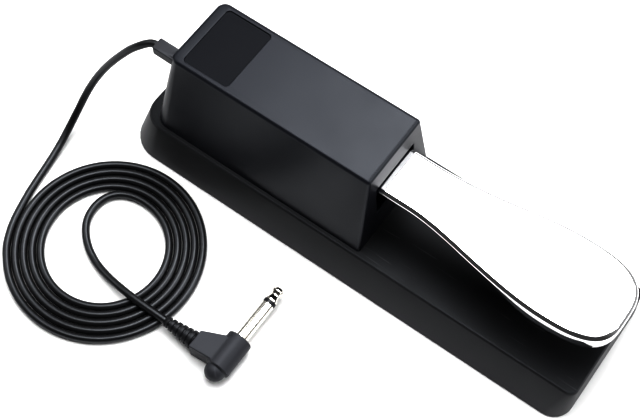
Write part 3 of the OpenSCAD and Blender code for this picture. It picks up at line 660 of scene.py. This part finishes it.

# %% The skins
# The base's pale colour, at full weight on its edges, is a painted highlight along the deck's
# rim.
moulded("base_plastic", (0.008, 0.008, 0.009), (0.22, 0.22, 0.23), 0.42, specular=0.3,
        smears=0.04, edge_wear_and_highlight=1.0)
moulded("housing_plastic", (0.011, 0.012, 0.017), (0.030, 0.032, 0.042), 0.35,
        specular=0.45)
moulded("label_plastic", (0.007, 0.008, 0.011), (0.02, 0.02, 0.024), 0.5,
        grain=0.8, depth=0.004, specular=0.16)
moulded("cord_pvc", (0.010, 0.010, 0.011), (0.03, 0.03, 0.03), 0.33,
        grain=0.6, depth=0.02, specular=0.65)
moulded("gland_pvc", (0.022, 0.022, 0.026), (0.05, 0.05, 0.055), 0.42)
moulded("relief_pvc", (0.016, 0.016, 0.018), (0.04, 0.04, 0.04), 0.42)
moulded("plug_pvc", (0.040, 0.041, 0.047), (0.08, 0.08, 0.09), 0.52)
moulded("sole_rubber", (0.012, 0.012, 0.012), (0.05, 0.05, 0.05), 0.75,
        grain=0.8, depth=0.08, specular=0.3)
moulded("stop_rubber", (0.014, 0.014, 0.014), (0.04, 0.04, 0.04), 0.8)
moulded("nylon", (0.62, 0.58, 0.49), (0.72, 0.69, 0.62), 0.38, smears=0.3)
moulded("switch_plastic", (0.014, 0.015, 0.018), (0.05, 0.05, 0.055), 0.5)
moulded("plunger_plastic", (0.45, 0.02, 0.015), (0.6, 0.1, 0.08), 0.35)
moulded("wire_pvc", (0.38, 0.02, 0.015), (0.5, 0.06, 0.05), 0.35, grain=0.6)
moulded("plug_insulator", (0.008, 0.008, 0.009), (0.03, 0.03, 0.03), 0.3)
moulded("stop_felt", (0.03, 0.09, 0.045), (0.07, 0.16, 0.09), 0.95, grain=1.2,
        depth=0.35, specular=0.1, sheen=0.6)
moulded("arm_paint", (0.020, 0.021, 0.023), (0.06, 0.06, 0.065), 0.45, grain=1, depth=0.02)
print("skins:", sorted(FINISH))

# %% [markdown]
# The pedal is chromed, the plug is nickelled, and the fittings are zinc, bright steel, spring
# steel and brass. A metal has no body colour under its surface, so its smears and scratches
# show as a duller reflection and a higher roughness. The chrome is nearly a perfect mirror.

# %% Metals
def metal(name, colour, dull, roughness, grain=1.0, depth=0.002, spread=0.05, smears=0.4,
          scratches=0.5):
    """A metal: its clean colour, the duller one of its marks, and how polished it is."""
    material = FINISH[name] = bpy.data.materials.new(name + ".look")
    material.use_nodes = True
    tree = material.node_tree
    shader = tree.nodes["Principled BSDF"]
    shader.inputs["Metallic"].default_value = 1
    skin = place(tree, grain_group, Grain_per_mm=grain, Depth_mm=depth, Roughness=roughness,
                 Roughness_spread=spread)
    marks = place(tree, marks_group, Smears=smears, Scratches=scratches)
    tree.links.new(blended(tree, marks.outputs["Mask"], colour, dull),
                   shader.inputs["Base Color"])
    rough = maths(tree, "ADD", skin.outputs["Roughness"],
                  maths(tree, "MULTIPLY", marks.outputs["Mask"], roughness * 0.8))
    tree.links.new(rough, shader.inputs["Roughness"])
    tree.links.new(skin.outputs["Normal"], shader.inputs["Normal"])


metal("pedal_chrome", (0.93, 0.93, 0.94), (0.86, 0.86, 0.87), 0.045,
      grain=0.02, depth=0.004, spread=0.02, smears=0.25, scratches=0.25)
metal("plug_nickel", (0.86, 0.84, 0.79), (0.70, 0.67, 0.60), 0.12)
metal("zinc_steel", (0.60, 0.62, 0.65), (0.42, 0.43, 0.45), 0.32, grain=3,
      depth=0.01, spread=0.12)
metal("bright_steel", (0.66, 0.66, 0.67), (0.5, 0.5, 0.5), 0.2)
metal("spring_steel", (0.48, 0.48, 0.50), (0.3, 0.3, 0.31), 0.3)
metal("contact_brass", (0.80, 0.62, 0.30), (0.55, 0.42, 0.22), 0.28)
print("metals:", [name for name in FINISH if FINISH[name].node_tree.nodes["Principled BSDF"]
                  .inputs["Metallic"].default_value == 1])

# %% [markdown]
# Every CAD node and every new piece knows the name of its finish. A loop gives each its material,
# so no piece can be forgotten.

# %% Put the materials on the pieces
def coat(piece, material):
    piece.data.materials.clear()
    piece.data.materials.append(material)


for name, thing in nodes.items():
    for slot in thing.material_slots:
        slot.material = FINISH[slot_of[name]]
for thing in (base, housing, gland, plug, relief, pedal, spring, lead):
    coat(thing, FINISH[thing["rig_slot"]])
print("materials in use:", len(FINISH))

# %% [markdown]
# ## Floor and light
# A product like this is pictured on white paper under large soft lamps. The floor is one pale
# sheet of paper, with no gloss to mirror the pedal. It lies a hair below the soles, so that no
# two faces share one plane.

# %% Floor
floor_mesh = bpy.data.meshes.new("floor")
FLOOR_HALF = 1.6
corners = [(x * FLOOR_HALF, y * FLOOR_HALF, 0) for x, y in ((-1, -1), (1, -1), (1, 1), (-1, 1))]
floor_mesh.from_pydata(corners, [], [(0, 1, 2, 3)])
floor = bpy.data.objects.new("floor", floor_mesh)
floor.location.z = -0.0002
bpy.context.scene.collection.objects.link(floor)
paper = bpy.data.materials.new("floor_paper")
paper.use_nodes = True
paper_shader = paper.node_tree.nodes["Principled BSDF"]
paper_shader.inputs["Base Color"].default_value = (0.86, 0.86, 0.86, 1)
paper_shader.inputs["Roughness"].default_value = 0.9
paper_shader.inputs["Specular IOR Level"].default_value = 0.1
floor_mesh.materials.append(paper)
print("floor, m:", [round(v, 2) for v in floor.dimensions])

# %% [markdown]
# A mirror shows whatever stands round it. The surroundings are pale on one side and dark on the
# other, so the chrome's two shoulders draw a grey line and a dark one. The viewer sees the
# surroundings white, like the paper.

# %% Surroundings
world = bpy.data.worlds.new("studio")
world.use_nodes = True
sky = world.node_tree
towards = add(sky, "ShaderNodeTexCoord")
parts = add(sky, "ShaderNodeSeparateXYZ")
sky.links.new(towards.outputs["Generated"], parts.inputs["Vector"])
side = add(sky, "ShaderNodeMapRange", interpolation_type="SMOOTHSTEP")
for label, value in (("From Min", -0.15), ("From Max", 0.55),
                     ("To Min", 0.10), ("To Max", 0.5)):
    side.inputs[label].default_value = value
sky.links.new(parts.outputs["X"], side.inputs["Value"])
seen = add(sky, "ShaderNodeLightPath")
sky.links.new(maths(sky, "MAXIMUM", side.outputs["Result"], seen.outputs["Is Camera Ray"]),
              sky.nodes["Background"].inputs["Strength"])
sky.nodes["Background"].inputs["Color"].default_value = (1, 1, 1, 1)
bpy.context.scene.world = world
print("surroundings, nodes:", len(sky.nodes))

# %% [markdown]
# Two flat lamps hang over the pedal: a bright one above the housing and the chrome, and a dimmer
# one towards the foot end. They are what the level surfaces look into, and their join makes the
# housing's top fade. Two weak soft boxes, in front and behind, lift the walls.

# %% Lamps
LAMPS_AIM_AT = Vector((0, 0, 0.03))


def softbox(name, around, above, away, size, power):
    """A soft lamp at a distance, turned towards the pedal."""
    lamp = bpy.data.lights.new(name, "AREA")
    lamp.shape = "RECTANGLE"
    lamp.size, lamp.size_y = size
    lamp.energy = power
    thing = bpy.data.objects.new(name, lamp)
    thing.location = LAMPS_AIM_AT + away * from_the_front(math.radians(around),
                                                          math.radians(above))
    thing.rotation_euler = (LAMPS_AIM_AT - thing.location).to_track_quat("-Z", "Y").to_euler()
    bpy.context.scene.collection.objects.link(thing)


def ceiling_panel(name, x0, x1, y0, y1, radiance, z=1.2):
    """A flat lamp that faces straight down. Its power follows from its brightness and area."""
    lamp = bpy.data.lights.new(name, "AREA")
    lamp.shape = "RECTANGLE"
    lamp.size, lamp.size_y = x1 - x0, y1 - y0
    lamp.energy = radiance * math.pi * lamp.size * lamp.size_y
    thing = bpy.data.objects.new(name, lamp)
    thing.location = ((x0 + x1) / 2, (y0 + y1) / 2, z)
    bpy.context.scene.collection.objects.link(thing)


ceiling_panel("ceiling_bright", -0.3, 1.1, -0.17, 0.5, 9.5)
ceiling_panel("ceiling_dim", -0.3, 1.1, -1.0, -0.17, 2.0)
softbox("front_lamp", 36, 32, 1.6, (1.0, 0.6), 12)
softbox("rear_lamp", -170, 38, 1.6, (1.2, 0.6), 7)
print("lamps:", {lamp.name: round(lamp.energy, 1) for lamp in bpy.data.lights})

# %% [markdown]
# A product picture has deep blacks and a paper that is pure white. The Standard view with a gamma
# below one gives that contrast, and the materials keep their real colours.

# %% Contrast
view = bpy.context.scene.view_settings
view.view_transform = "Standard"
view.look = "None"
view.gamma = 0.62
print("view:", view.view_transform, "gamma:", round(view.gamma, 2))
